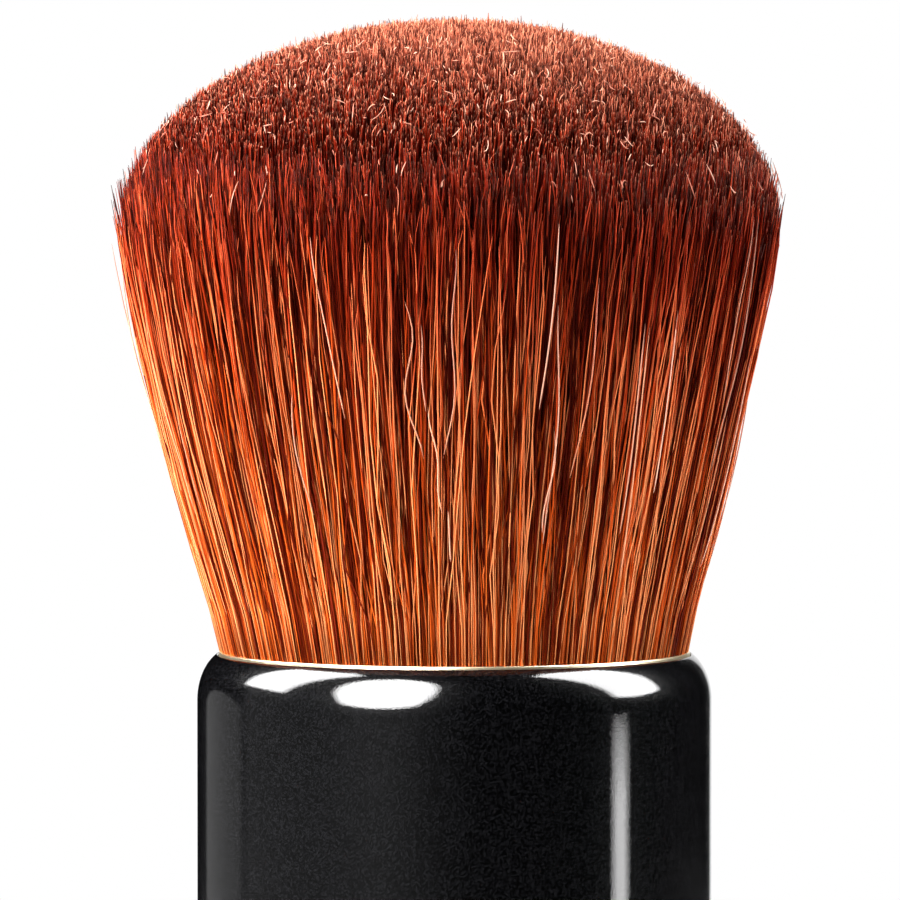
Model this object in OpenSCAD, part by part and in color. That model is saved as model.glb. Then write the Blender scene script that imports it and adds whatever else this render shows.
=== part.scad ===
// Kabuki makeup brush: a short round barrel that stands on its base, with a domed head of bristles.
// Units are millimetres. The origin is the centre of the base, and +Z runs up the brush's axis.

/* [Barrel] */
// Outside diameter of the barrel
barrel_d = 32; // [30:0.5:36]
// Height of the barrel's rim above the table
barrel_h = 36; // [34:0.5:48]
// Wall thickness of the barrel
barrel_wall = 0.9; // [0.8:0.05:1.1]
// Width of the shoulder, from the straight side in to the rim
shoulder_w = 1.3; // [1.2:0.05:1.6]
// How far down the barrel the rounded shoulder reaches
shoulder_h = 3.2; // [2.5:0.1:4.5]

/* [Base] */
// Thickness of the base cap's visible flange
flange_h = 2.6; // [2.2:0.1:3.5]
// Diameter of the trim disc under the base
disc_d = 24.8; // [20:0.2:25]
// Height of the steel weight
weight_h = 8.2; // [4:0.1:8.2]

/* [Ferrule] */
// How far the ferrule's bright edge stands above the barrel's rim
ferrule_proud = 0.2; // [0.1:0.05:0.4]
// Depth of the ferrule below its edge
ferrule_depth = 12.2; // [11:0.1:13]
// Wall thickness of the ferrule
ferrule_wall = 0.25; // [0.2:0.01:0.3]
// Turns of cord that bind the bristle roots
cord_turns = 4; // [3:1:5]

/* [Bristles] */
// Widest diameter of the bristle head
head_d = 41.4; // [38:0.2:44]
// Height above the ferrule at which the head is widest
belly_h = 26.5; // [22:0.5:30]
// Height of the domed top above the widest place
dome_h = 12.9; // [8:0.1:16]
// Rings of strands round the one in the middle
strand_rings = 11; // [10:1:12]
// Share of the space between two rings that a strand fills
strand_fill = 0.86; // [0.6:0.01:0.9]

/* [Hidden] */
$fn = 96;

// Play between pieces that slide into each other
slip = 0.05;

// Barrel: its shoulder is part of an ellipse that is centred inside the wall, and stops at the rim
barrel_r = barrel_d / 2;
bore_r = barrel_r - barrel_wall;
lip_r = barrel_r - shoulder_w;
lip_round = 0.12;
lip_depth = 1.2;
barrel_foot = 0.25;
shoulder_curve = 1.73 * shoulder_w;
shoulder_r = barrel_r - shoulder_curve;
lip_angle = acos((lip_r + lip_round - shoulder_r) / shoulder_curve);
shoulder_z = barrel_h - shoulder_h * sin(lip_angle);
shoulder_steps = 20;

// Base cap and what it carries
flange_step = 0.15;
flange_r = barrel_r - flange_step;
flange_round = 0.8;
spigot_h = 5;
spigot_r = bore_r - slip;
spigot_wall = 1.6;
spigot_bevel = 0.4;
recess_h = 0.8;
disc_t = 0.5;
pad_t = 2;
pad_play = 0.45;
pad_r = spigot_r - spigot_wall - pad_play;
weight_r = pad_r - 0.4;
weight_edge = 0.5;

// Liner between the base cap and the ferrule: it grips the weight under a deck, and has ribs above it
liner_play = 0.1;
liner_foot = flange_h + spigot_h + liner_play;
liner_bore = weight_r + 0.15;
deck_z = flange_h + pad_t + weight_h + 2 * liner_play;
deck_t = 2;
deck_top = deck_z + deck_t;
rib_count = 6;
rib_t = 1.4;
rib_bury = 0.2;

// Ferrule, with a swaged bead that grips the barrel's bore under the lip, and the glue around it
ferrule_r = lip_r - slip;
ferrule_bore = ferrule_r - ferrule_wall;
ferrule_top = barrel_h + ferrule_proud;
ferrule_foot = ferrule_top - ferrule_depth;
ferrule_floor = 0.4;
ferrule_bevel = 0.4;
bead_h = 1;
bead_flat = 0.4;
bead_drop = 1.6;
bead_z = barrel_h - lip_depth - bead_drop - bead_h / 2;
bond_lift = 1;
bond_gap = 0.3;

// Resin plug, the cord round its waist, and the slice that the bristles stand in
slice_t = 1.2;
slice_drop = 1.2;
slice_top = ferrule_top - slice_drop;
slice_foot = slice_top - slice_t;
plug_foot = ferrule_foot + ferrule_floor;
cord_r = 0.5;
cord_pitch = 0.95;
cord_lift = 1.4;
cord_z = plug_foot + cord_lift;
waist_r = ferrule_bore - 2 * cord_r;
waist_top = cord_z + 2 * cord_r + (cord_turns - 1) * cord_pitch;

// Strands: ring k holds 6 * k of them, and their roots fill the slice out to root_r
head_r = head_d / 2;
root_gap = 0.05;
root_r = ferrule_bore - root_gap;
ring_pitch = root_r / (strand_rings + 0.5);
strand_half = ring_pitch * strand_fill / 2;
core_rings = 3;
middle_rings = 7;
spread_power = 1.3;
bend_z = 0.46 * belly_h;
tip_h = 2.6;
tip_scatter = 0.35;
strand_bury = 0.25;
ring_turn = 137.5;

// Width of the head at height z above the ferrule, as a share of its width at the ferrule's edge.
// Below that edge it goes on along the straight lower part of the strands
function spread(z) =
    z < 0 ? 1 + z * (spread(bend_z) - 1) / bend_z
    : 1 + (head_r / root_r - 1) * (1 - pow(1 - min(z, belly_h) / belly_h, spread_power));

// Height above the ferrule at which a strand ends, for its place from the middle (0) to the edge (1)
function tip_z(place) = belly_h + dome_h * sqrt(1 - pow(place, 2));

// Small repeatable unevenness between -1 and 1
function uneven(seed) = sin(seed * 211.7) * cos(seed * 37.3);

// Rounded shoulder of the barrel, from its straight side to the lip
function shoulder_points() = [
    for (i = [0 : shoulder_steps])
        let (a = lip_angle * i / shoulder_steps)
        [shoulder_r + shoulder_curve * cos(a), shoulder_z + shoulder_h * sin(a)]
];

// Lacquered shell with a rolled-in lip that centres the ferrule
module barrel() {
    cone_z = barrel_h - lip_depth;
    lip_arc = [for (a = [120 : 30 : 180])
        [lip_r + lip_round + lip_round * cos(a), barrel_h - lip_round + lip_round * sin(a)]];
    color("#101014")
    rotate_extrude()
    polygon(concat(
        [[bore_r, flange_h], [barrel_r - barrel_foot, flange_h], [barrel_r, flange_h + barrel_foot]],
        shoulder_points(),
        lip_arc,
        [[lip_r, cone_z], [bore_r, cone_z - (bore_r - lip_r)]]
    ));
}

// Cap that the brush stands on, with a spigot up into the barrel and a recess below for the disc
module base_cap() {
    foot_arc = [for (a = [-90 : 15 : 0])
        [flange_r - flange_round + flange_round * cos(a), flange_round + flange_round * sin(a)]];
    spigot_top = flange_h + spigot_h;
    spigot_bore = spigot_r - spigot_wall;
    color("#141418")
    rotate_extrude()
    polygon(concat(
        [[0, recess_h], [disc_d / 2 + slip, recess_h], [disc_d / 2 + slip, 0]],
        foot_arc,
        [[flange_r, flange_h], [spigot_r, flange_h], [spigot_r, spigot_top - spigot_bevel],
            [spigot_r - spigot_bevel, spigot_top], [spigot_bore, spigot_top],
            [spigot_bore, flange_h], [0, flange_h]]
    ));
}

module base_disc() {
    color("#2b2b2f")
    translate([0, 0, recess_h - disc_t])
    cylinder(h = disc_t, d = disc_d);
}

module weight_pad() {
    color("#3b3b3f")
    translate([0, 0, flange_h])
    cylinder(h = pad_t, r = pad_r);
}

module weight_slug() {
    edge_r = weight_r - weight_edge;
    color("#8d9095")
    translate([0, 0, flange_h + pad_t])
    rotate_extrude()
    polygon([[0, 0], [edge_r, 0], [weight_r, weight_edge], [weight_r, weight_h - weight_edge],
        [edge_r, weight_h], [0, weight_h]]);
}

// The cuts below start and end a millimetre outside the liner
module handle_liner() {
    color("#c9c9c4") {
        difference() {
            translate([0, 0, liner_foot])
            cylinder(h = ferrule_foot - liner_foot, r = bore_r - slip);
            translate([0, 0, liner_foot - 1])
            cylinder(h = deck_z - liner_foot + 1, r = liner_bore);
            translate([0, 0, deck_top])
            cylinder(h = ferrule_foot - deck_top + 1, r = liner_bore);
        }
        for (i = [0 : rib_count / 2 - 1])
            rotate(i * 360 / rib_count)
            translate([-liner_bore - rib_bury, -rib_t / 2, deck_top - rib_bury])
            cube([2 * (liner_bore + rib_bury), rib_t, ferrule_foot - deck_top + rib_bury]);
    }
}

// Thin cup: its rounded edge is the bright line between the barrel and the bristles
module ferrule() {
    edge = ferrule_wall / 2;
    edge_arc = [for (a = [0 : 30 : 180])
        [ferrule_r - edge + edge * cos(a), ferrule_top - edge + edge * sin(a)]];
    color("#d9c9a8")
    rotate_extrude()
    polygon(concat(
        [[0, ferrule_foot], [ferrule_r - ferrule_bevel, ferrule_foot],
            [ferrule_r, ferrule_foot + ferrule_bevel], [ferrule_r, bead_z - bead_h / 2],
            [bore_r - slip, bead_z - bead_flat / 2], [bore_r - slip, bead_z + bead_flat / 2],
            [ferrule_r, bead_z + bead_h / 2]],
        edge_arc,
        [[ferrule_bore, plug_foot], [0, plug_foot]]
    ));
}

module ferrule_bond() {
    bond_foot = ferrule_foot + bond_lift;
    bond_h = bead_z - bead_h / 2 - bond_gap - bond_foot;
    color("#d8cf9a")
    translate([0, 0, bond_foot])
    difference() {
        cylinder(h = bond_h, r = bore_r);
        translate([0, 0, -1])
        cylinder(h = bond_h + 2, r = ferrule_r);
    }
}

// Resin that holds the bristle roots, with a waist where the cord binds them
module knot_resin() {
    color("#b98a4a")
    rotate_extrude()
    polygon([[0, plug_foot], [ferrule_bore, plug_foot], [ferrule_bore, cord_z], [waist_r, cord_z],
        [waist_r, waist_top], [ferrule_bore, waist_top], [ferrule_bore, slice_foot], [0, slice_foot]]);
}

// The turns bed into each other, so they are one solid
module binding_cord() {
    color("#e6dcc6")
    rotate_extrude()
    for (i = [0 : cord_turns - 1])
        translate([waist_r + cord_r, cord_z + cord_r + i * cord_pitch])
        circle(r = cord_r, $fn = 32);
}

// Half of a strand's width along its ring: the strands of the inner rings are narrower to stay apart
function half_across(k) =
    k == 0 ? 0.7 * strand_half : min(strand_half, 0.92 * (k * ring_pitch - strand_half) * tan(30 / k));

// Half of a strand's width outwards
function half_out(k) = k == 0 ? half_across(0) : strand_half;

// Four corners of a strand's section at height z above the ferrule, for a strand on ring k at angle a
function section(k, a, z) =
    [for (corner = [[-1, -1], [1, -1], [1, 1], [-1, 1]])
        let (
            x = (k * ring_pitch + corner[0] * half_out(k)) * spread(z),
            y = corner[1] * half_across(k) * spread(z)
        )
        [x * cos(a) - y * sin(a), x * sin(a) + y * cos(a), ferrule_top + z]];

// One strand: a square stem that follows the head's spread and ends in a point. All of them bend at
// one height, and a ring is never taller than the one inside it, so no strand crosses another
function strand_points(k, a) =
    let (
        top = tip_z(k / (strand_rings + 0.5)) + tip_scatter * uneven(k * 7 + a),
        tip_r = k * ring_pitch * spread(top)
    )
    concat(
        section(k, a, -slice_drop - strand_bury),
        section(k, a, bend_z),
        section(k, a, top - tip_h),
        [[tip_r * cos(a), tip_r * sin(a), ferrule_top + top]]
    );

// Triangles between the three sections, and from the last one to the point
strand_faces = concat(
    [[0, 1, 2], [0, 2, 3]],
    [for (level = [0, 4], i = [0 : 3])
        let (j = (i + 1) % 4)
        each [[level + i, level + 4 + i, level + j], [level + j, level + 4 + i, level + 4 + j]]],
    [for (i = [0 : 3]) [8 + i, 12, 8 + (i + 1) % 4]]
);

// A slice of the resin plug with the strands of rings first to last standing in it
module bristles(first, last) {
    slice_pitch = ring_pitch * spread(-slice_drop);
    inner = first == 0 ? 0 : (first - 0.5) * slice_pitch;
    outer = last == strand_rings ? ferrule_bore : (last + 0.5) * slice_pitch;
    union() {
        translate([0, 0, slice_foot])
        rotate_extrude()
        polygon([[inner, 0], [outer, 0], [outer, slice_t], [inner, slice_t]]);
        for (k = [first : last])
            for (i = [0 : max(1, 6 * k) - 1])
                polyhedron(strand_points(k, i * 60 / max(k, 1) + k * ring_turn), strand_faces);
    }
}

module bristles_core() {
    color("#8f2d14") bristles(0, core_rings);
}

module bristles_middle() {
    color("#a53a17") bristles(core_rings + 1, middle_rings);
}

module bristles_outer() {
    color("#c4541c") bristles(middle_rings + 1, strand_rings);
}

barrel();
base_cap();
base_disc();
weight_pad();
weight_slug();
handle_liner();
ferrule();
ferrule_bond();
knot_resin();
binding_cord();
bristles_core();
bristles_middle();
bristles_outer();
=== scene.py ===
import math

import bmesh
import bpy
import numpy as np
from mathutils import Matrix, Vector


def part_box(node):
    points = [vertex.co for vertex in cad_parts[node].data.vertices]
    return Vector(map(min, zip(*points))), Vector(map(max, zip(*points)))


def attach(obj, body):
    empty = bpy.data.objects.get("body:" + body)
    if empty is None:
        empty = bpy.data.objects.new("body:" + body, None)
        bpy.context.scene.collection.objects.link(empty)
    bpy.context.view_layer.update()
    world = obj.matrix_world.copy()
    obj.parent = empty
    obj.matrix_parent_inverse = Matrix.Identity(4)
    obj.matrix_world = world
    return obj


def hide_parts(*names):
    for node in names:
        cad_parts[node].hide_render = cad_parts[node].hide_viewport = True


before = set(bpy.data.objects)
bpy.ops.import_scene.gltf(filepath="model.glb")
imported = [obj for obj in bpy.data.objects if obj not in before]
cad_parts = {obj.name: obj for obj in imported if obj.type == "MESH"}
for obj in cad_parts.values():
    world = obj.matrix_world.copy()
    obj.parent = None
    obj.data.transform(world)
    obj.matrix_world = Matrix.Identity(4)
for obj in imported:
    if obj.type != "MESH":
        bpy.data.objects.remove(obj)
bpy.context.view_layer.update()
mm = 0.001
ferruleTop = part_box("ferrule")[1].z
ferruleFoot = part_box("ferrule")[0].z
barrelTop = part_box("barrel")[1].z
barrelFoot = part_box("barrel")[0].z
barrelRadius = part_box("barrel")[1].x
print("stage 1: frame loaded, ferrule edge at", round(ferruleTop / mm, 2), "mm")


# Small helpers for colours and node trees

def toLinear(hexColour):
    channels = [int(hexColour[i:i + 2], 16) / 255 for i in (1, 3, 5)]
    return [c / 12.92 if c <= 0.04045 else ((c + 0.055) / 1.055) ** 2.4 for c in channels] + [1.0]


def addNode(tree, kind, settings=None, inputs=None):
    # inputs maps a socket's name or number to a value or to the output that feeds it
    node = tree.nodes.new(kind)
    for name, value in (settings or {}).items():
        setattr(node, name, value)
    for name, value in (inputs or {}).items():
        if isinstance(value, bpy.types.NodeSocket):
            tree.links.new(value, node.inputs[name])
        else:
            node.inputs[name].default_value = value
    return node


def setRamp(node, stops):
    # stops lists (place, hex colour) from left to right
    elements = node.color_ramp.elements
    while len(elements) < len(stops):
        elements.new(1.0)
    for element, (place, hexColour) in zip(elements, stops):
        element.position = place
        element.color = toLinear(hexColour)
    return node


def newMaterial(name, roughness, metallic=0.0):
    material = bpy.data.materials.new(name)
    material.use_nodes = True
    tree = material.node_tree
    shader = tree.nodes["Principled BSDF"]
    shader.inputs["Roughness"].default_value = roughness
    shader.inputs["Metallic"].default_value = metallic
    return material, tree, shader


def joinFinish(tree, shader, tone, height, strength, depth):
    # lets a pattern's tones colour the surface, and its height dent it
    bump = addNode(tree, "ShaderNodeBump", inputs={
        "Height": height.outputs[0], "Strength": strength, "Distance": depth})
    tree.links.new(tone.outputs[0], shader.inputs["Base Color"])
    tree.links.new(bump.outputs[0], shader.inputs["Normal"])


def objectPlace(tree, scale=(1, 1, 1)):
    # Object coordinates, stretched along an axis where the finish was drawn or turned that way
    place = addNode(tree, "ShaderNodeTexCoord").outputs["Object"]
    return addNode(tree, "ShaderNodeMapping", inputs={"Vector": place, "Scale": scale}).outputs[0]


# Camera: level with the belly of the head, far off, as the photograph was taken

cameraLook = {
    "distance": 600 * mm,
    "elevation": 2.6,         # degrees above the horizon
    "aimX": -0.28 * mm,
    "aimZ": 48.7 * mm,
    "widthSeen": 55.94 * mm,  # what the picture's 900 pixels span at the brush's axis
}


def makeCamera(look):
    data = bpy.data.cameras.new("camera")
    data.sensor_width = 36
    data.lens = data.sensor_width * look["distance"] / look["widthSeen"]
    data.clip_start = 0.01
    data.clip_end = 20
    camera = bpy.data.objects.new("camera", data)
    bpy.context.scene.collection.objects.link(camera)
    tilt = math.radians(look["elevation"])
    camera.location = (
        look["aimX"],
        -look["distance"] * math.cos(tilt),
        look["aimZ"] + look["distance"] * math.sin(tilt),
    )
    camera.rotation_euler = (math.pi / 2 - tilt, 0, 0)
    bpy.context.scene.camera = camera


makeCamera(cameraLook)


# Turned parts: half of a section is drawn as a few corners, rounded, and spun about the brush's axis

def drawSection(bm, corners, rounds=None, longest=1.2):
    # corners lists (radius, height) in mm, and rounds gives some of them a radius in mm, by number
    verts = [bm.verts.new((radius * mm, 0, height * mm)) for radius, height in corners]
    edges = [bm.edges.new(pair) for pair in zip(verts, verts[1:])]
    for number, size in (rounds or {}).items():
        bmesh.ops.bevel(bm, geom=[verts[number]], offset=size * mm, offset_type="OFFSET", segments=6,
                        profile=0.5, affect="VERTICES", material=-1)
    # short edges beside each rounding keep the shading of the straight walls even
    for edge in [e for e in bm.edges if e.calc_length() > longest * mm]:
        bmesh.ops.subdivide_edges(bm, edges=[edge], cuts=int(edge.calc_length() / (longest * mm)))
    return edges


def finishPiece(bm, name, material, slot, *nodes):
    mesh = bpy.data.meshes.new(name)
    bm.to_mesh(mesh)
    bm.free()
    mesh.polygons.foreach_set("use_smooth", [True] * len(mesh.polygons))
    mesh.materials.append(material)
    piece = bpy.data.objects.new(name, mesh)
    bpy.context.scene.collection.objects.link(piece)
    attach(piece, "root")
    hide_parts(*nodes)
    return piece


def spinSection(bm, name, material, node, steps=192):
    bmesh.ops.remove_doubles(bm, verts=bm.verts[:], dist=0.001 * mm)
    bmesh.ops.spin(bm, geom=bm.verts[:] + bm.edges[:], cent=(0, 0, 0), axis=(0, 0, 1),
                   angle=2 * math.pi, steps=steps, use_merge=True)
    bmesh.ops.remove_doubles(bm, verts=bm.verts[:], dist=0.0005 * mm)
    bmesh.ops.recalc_face_normals(bm, faces=bm.faces[:])
    return finishPiece(bm, name, material, node, node)


barrel = {
    "radius": barrelRadius / mm,
    "foot": barrelFoot / mm,
    "rim": barrelTop / mm,
    "wall": 0.9,
    "shoulderWide": 2.249,    # half axes of the ellipse that the shoulder is a part of
    "shoulderTall": 3.2,
    "lip": 14.7,              # radius of the mouth
    "lipRound": 0.12,
    "lipDeep": 1.2,
    "footRound": 0.25,
    "grit": 0.085 * mm,       # grain under the lacquer, drawn as coarse as it shows in the photograph
    "peel": 1.6 * mm,         # slow waves in the sprayed coat
}


def makeLacquer(look):
    # Black lacquer sprayed on aluminium: a sharp mirror on top, over a fine pale grit that shows where
    # the light is strong and breaks the edge of each highlight into sparks
    material, tree, shader = newMaterial("sprayedLacquer", 0.24)
    place = objectPlace(tree)
    grit = addNode(tree, "ShaderNodeTexVoronoi", inputs={"Vector": place, "Scale": 1 / look["grit"]})
    tone = setRamp(addNode(tree, "ShaderNodeValToRGB", inputs={0: grit.outputs["Color"]}), [
        (0.35, "#010101"), (0.5, "#020203"), (0.75, "#141416")])
    peel = addNode(tree, "ShaderNodeTexNoise", inputs={
        "Vector": place, "Scale": 1 / look["peel"], "Detail": 1.0})
    gritBump = addNode(tree, "ShaderNodeBump", inputs={
        "Height": grit.outputs[0], "Strength": 1.0, "Distance": 0.008 * mm})
    peelBump = addNode(tree, "ShaderNodeBump", inputs={
        "Height": peel.outputs[0], "Strength": 0.1, "Distance": 0.02 * mm})
    coatBump = addNode(tree, "ShaderNodeBump", inputs={
        "Height": grit.outputs[0], "Strength": 0.18, "Distance": 0.01 * mm,
        "Normal": peelBump.outputs[0]})
    tree.links.new(tone.outputs[0], shader.inputs["Base Color"])
    tree.links.new(gritBump.outputs[0], shader.inputs["Normal"])
    tree.links.new(coatBump.outputs[0], shader.inputs["Coat Normal"])
    shader.inputs["Specular IOR Level"].default_value = 0.03
    shader.inputs["Coat Weight"].default_value = 1.0
    shader.inputs["Coat Roughness"].default_value = 0.03
    return material


def makeBarrel(look):
    bm = bmesh.new()
    wide, tall = look["shoulderWide"], look["shoulderTall"]
    centre = look["radius"] - wide
    cut = look["lip"] + look["lipRound"]
    start = look["rim"] - tall * math.sqrt(1 - ((cut - centre) / wide) ** 2)
    # the shoulder is a circle stretched to an ellipse, of which only the part outside the lip stays
    bmesh.ops.create_circle(bm, segments=128, radius=mm, matrix=Matrix.Rotation(math.pi / 2, 4, "X"))
    bmesh.ops.scale(bm, vec=(wide, 1, tall), verts=bm.verts)
    bmesh.ops.translate(bm, vec=(centre * mm, 0, start * mm), verts=bm.verts)
    for spot, facing in [((cut * mm, 0, 0), (-1, 0, 0)), ((0, 0, start * mm), (0, 0, -1))]:
        bmesh.ops.bisect_plane(bm, geom=bm.verts[:] + bm.edges[:], dist=1e-7, plane_co=spot,
                               plane_no=facing, clear_outer=True)
    bore = look["radius"] - look["wall"]
    throat = look["rim"] - look["lipDeep"]
    drawSection(bm, [
        (cut, look["rim"]), (look["lip"], look["rim"]), (look["lip"], throat),
        (bore, throat - (bore - look["lip"])), (bore, look["foot"]), (look["radius"], look["foot"]),
        (look["radius"], start),
    ], {1: look["lipRound"] - 0.01, 5: look["footRound"]})
    return spinSection(bm, "barrel_shell", makeLacquer(look), "barrel", 256)


makeBarrel(barrel)


ferrule = {
    "radius": 14.65,
    "top": ferruleTop / mm,
    "foot": ferruleFoot / mm,
    "wall": 0.25,
    "floor": 0.4,
    "footBevel": 0.4,
    "beadRadius": 15.05,
    "beadHeight": 32.7,
    "beadTall": 1.0,
    "beadRound": 0.2,
    "edgeRound": 0.12,
    "drawLines": 0.09 * mm,   # spacing of the lines that the spinning tool leaves
}


def makeGoldAnodise(look):
    # Spun aluminium, anodised pale gold: a soft metal shine with fine lines round it
    material, tree, shader = newMaterial("goldAnodised", 0.3, 1.0)
    lines = addNode(tree, "ShaderNodeTexWave", {"wave_type": "BANDS", "bands_direction": "Z"}, {
        "Vector": objectPlace(tree), "Scale": 0.5 / look["drawLines"], "Distortion": 1.5, "Detail": 2.0})
    tone = setRamp(addNode(tree, "ShaderNodeValToRGB", inputs={0: lines.outputs[0]}), [
        (0.2, "#F0DDB4"), (0.8, "#FBEFD2")])
    joinFinish(tree, shader, tone, lines, 0.3, 0.01 * mm)
    return material


def makeFerrule(look):
    bm = bmesh.new()
    bore = look["radius"] - look["wall"]
    inside = look["foot"] + look["floor"]
    low = look["beadHeight"] - look["beadTall"] / 2
    high = look["beadHeight"] + look["beadTall"] / 2
    drawSection(bm, [
        (0, look["foot"]), (look["radius"], look["foot"]), (look["radius"], low),
        (look["beadRadius"], look["beadHeight"]), (look["radius"], high), (look["radius"], look["top"]),
        (bore, look["top"]), (bore, inside), (0, inside),
    ], {1: look["footBevel"], 3: look["beadRound"], 5: look["edgeRound"], 6: look["edgeRound"]})
    return spinSection(bm, "ferrule_cup", makeGoldAnodise(look), "ferrule")


makeFerrule(ferrule)


baseCap = {
    "radius": barrelRadius / mm - 0.15,
    "top": barrelFoot / mm,
    "footRound": 0.8,
    "recessRadius": 12.45,
    "recessDeep": 0.8,
    "recessRound": 0.15,
    "seamRound": 0.1,         # at the seam to the barrel
    "spigotRadius": 15.05,
    "spigotTop": 7.6,
    "spigotWall": 1.6,
    "spigotLead": 0.4,        # rounding that leads the spigot into the barrel
    "spigotRound": 0.2,
    "spark": 0.35 * mm,       # spacing of the texture that the spark-eroded mould leaves
    "flow": 6 * mm,           # width of the waves that the melt left
    "discRadius": 12.4,
    "discThick": 0.5,
    "discRound": 0.12,
    "discBackRound": 0.06,
    "groove": 0.22 * mm,      # feed of the lathe tool that faced the disc
}


def makeMouldedAbs(look):
    # Black ABS from a polished mould: glossy, with faint flow waves and a fine even texture
    material, tree, shader = newMaterial("mouldedAbs", 0.22)
    place = objectPlace(tree)
    texture = addNode(tree, "ShaderNodeTexVoronoi", inputs={"Vector": place, "Scale": 1 / look["spark"]})
    flow = addNode(tree, "ShaderNodeTexNoise", inputs={
        "Vector": place, "Scale": 1 / look["flow"], "Detail": 3.0})
    tone = setRamp(addNode(tree, "ShaderNodeValToRGB", inputs={0: flow.outputs[0]}), [
        (0.35, "#0C0C0E"), (0.65, "#17171A")])
    joinFinish(tree, shader, tone, texture, 0.12, 0.02 * mm)
    return material


def makeTurnedDisc(look):
    # Aluminium disc, faced on a lathe and anodised dark: fine rings that spread the light sideways
    material, tree, shader = newMaterial("turnedAnodised", 0.36, 1.0)
    rings = addNode(tree, "ShaderNodeTexWave", {"wave_type": "RINGS", "rings_direction": "Z"}, {
        "Vector": objectPlace(tree), "Scale": 0.5 / look["groove"], "Distortion": 0.4, "Detail": 1.0})
    tone = setRamp(addNode(tree, "ShaderNodeValToRGB", inputs={0: rings.outputs[0]}), [
        (0.2, "#3A3A3E"), (0.8, "#5A5A60")])
    joinFinish(tree, shader, tone, rings, 0.4, 0.01 * mm)
    return material


def makeBase(look):
    bm = bmesh.new()
    bore = look["spigotRadius"] - look["spigotWall"]
    drawSection(bm, [
        (0, look["recessDeep"]), (look["recessRadius"], look["recessDeep"]), (look["recessRadius"], 0),
        (look["radius"], 0), (look["radius"], look["top"]), (look["spigotRadius"], look["top"]),
        (look["spigotRadius"], look["spigotTop"]), (bore, look["spigotTop"]), (bore, look["top"]),
        (0, look["top"]),
    ], {2: look["recessRound"], 3: look["footRound"], 4: look["seamRound"], 6: look["spigotLead"],
        7: look["spigotRound"]})
    spinSection(bm, "base_cap_shell", makeMouldedAbs(look), "base_cap")
    bm = bmesh.new()
    low = look["recessDeep"] - look["discThick"]
    drawSection(bm, [
        (0, low), (look["discRadius"], low), (look["discRadius"], look["recessDeep"]),
        (0, look["recessDeep"]),
    ], {1: look["discRound"], 2: look["discBackRound"]})
    spinSection(bm, "base_disc_plate", makeTurnedDisc(look), "base_disc")


makeBase(baseCap)
print("stage 2: barrel, ferrule and base turned")


# Pieces inside the handle keep their own shapes and get their finishes here

inside = {
    "foamCell": 0.4 * mm,
    "feed": 0.18 * mm,        # lathe feed on the steel weight
    "cloud": 5 * mm,          # patches in the zinc's tint
    "melt": 4 * mm,           # clouds where the melt flowed into the liner's mould
    "mouldGrain": 0.2 * mm,
    "swirl": 3 * mm,          # in the poured resin
    "bubble": 0.7 * mm,       # air bubbles in it
    "twist": 150,             # twists of the cord in one turn round the plug
    "cordPitch": 0.95 * mm,
    "fuzz": 0.08 * mm,        # width of the cord's loose fibres
}


def finishFoam(look):
    # Closed-cell foam sheet: soft black, with cells that show as small dents
    material, tree, shader = newMaterial("closedCellFoam", 0.92)
    cells = addNode(tree, "ShaderNodeTexVoronoi", inputs={
        "Vector": objectPlace(tree), "Scale": 1 / look["foamCell"]})
    tone = setRamp(addNode(tree, "ShaderNodeValToRGB", inputs={0: cells.outputs[0]}), [
        (0.1, "#252528"), (0.7, "#3E3E42")])
    joinFinish(tree, shader, tone, cells, 0.7, 0.1 * mm)
    return material


def finishSteel(look):
    # Turned steel with a thin zinc plate: bright lines round it and a slight cloudy tint
    material, tree, shader = newMaterial("zincPlatedSteel", 0.33, 1.0)
    lines = addNode(tree, "ShaderNodeTexWave", {"wave_type": "BANDS", "bands_direction": "Z"}, {
        "Vector": objectPlace(tree), "Scale": 0.5 / look["feed"], "Distortion": 0.8, "Detail": 2.0})
    cloud = addNode(tree, "ShaderNodeTexNoise", inputs={
        "Vector": objectPlace(tree), "Scale": 1 / look["cloud"], "Detail": 4.0})
    tone = setRamp(addNode(tree, "ShaderNodeValToRGB", inputs={0: cloud.outputs[0]}), [
        (0.35, "#9EA3AB"), (0.5, "#B4B5B5"), (0.65, "#BDB8A6")])
    joinFinish(tree, shader, tone, lines, 0.35, 0.01 * mm)
    return material


def finishLiner(look):
    # Natural ABS: off-white and satin, with faint clouds where the melt flowed
    material, tree, shader = newMaterial("naturalAbs", 0.45)
    flow = addNode(tree, "ShaderNodeTexNoise", inputs={
        "Vector": objectPlace(tree, (1, 1, 0.3)), "Scale": 1 / look["melt"],
        "Detail": 4.0, "Distortion": 1.0})
    tone = setRamp(addNode(tree, "ShaderNodeValToRGB", inputs={0: flow.outputs[0]}), [
        (0.3, "#CFCBBE"), (0.7, "#DEDACF")])
    grain = addNode(tree, "ShaderNodeTexNoise", inputs={
        "Vector": objectPlace(tree), "Scale": 1 / look["mouldGrain"]})
    joinFinish(tree, shader, tone, grain, 0.15, 0.02 * mm)
    return material


def finishResin(name, shade, tint, look):
    # Cured epoxy: smooth and amber, with small bubbles and slow swirls from the pour
    material, tree, shader = newMaterial(name, 0.16)
    swirl = addNode(tree, "ShaderNodeTexNoise", inputs={
        "Vector": objectPlace(tree), "Scale": 1 / look["swirl"], "Detail": 3.0, "Distortion": 1.2})
    tone = setRamp(addNode(tree, "ShaderNodeValToRGB", inputs={0: swirl.outputs[0]}), [
        (0.3, shade), (0.7, tint)])
    bubbles = addNode(tree, "ShaderNodeTexVoronoi", inputs={
        "Vector": objectPlace(tree), "Scale": 1 / look["bubble"]})
    dent = addNode(tree, "ShaderNodeMapRange", inputs={0: bubbles.outputs[0], 1: 0.05, 2: 0.25})
    joinFinish(tree, shader, tone, dent, 0.3, 0.1 * mm)
    return material


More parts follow.
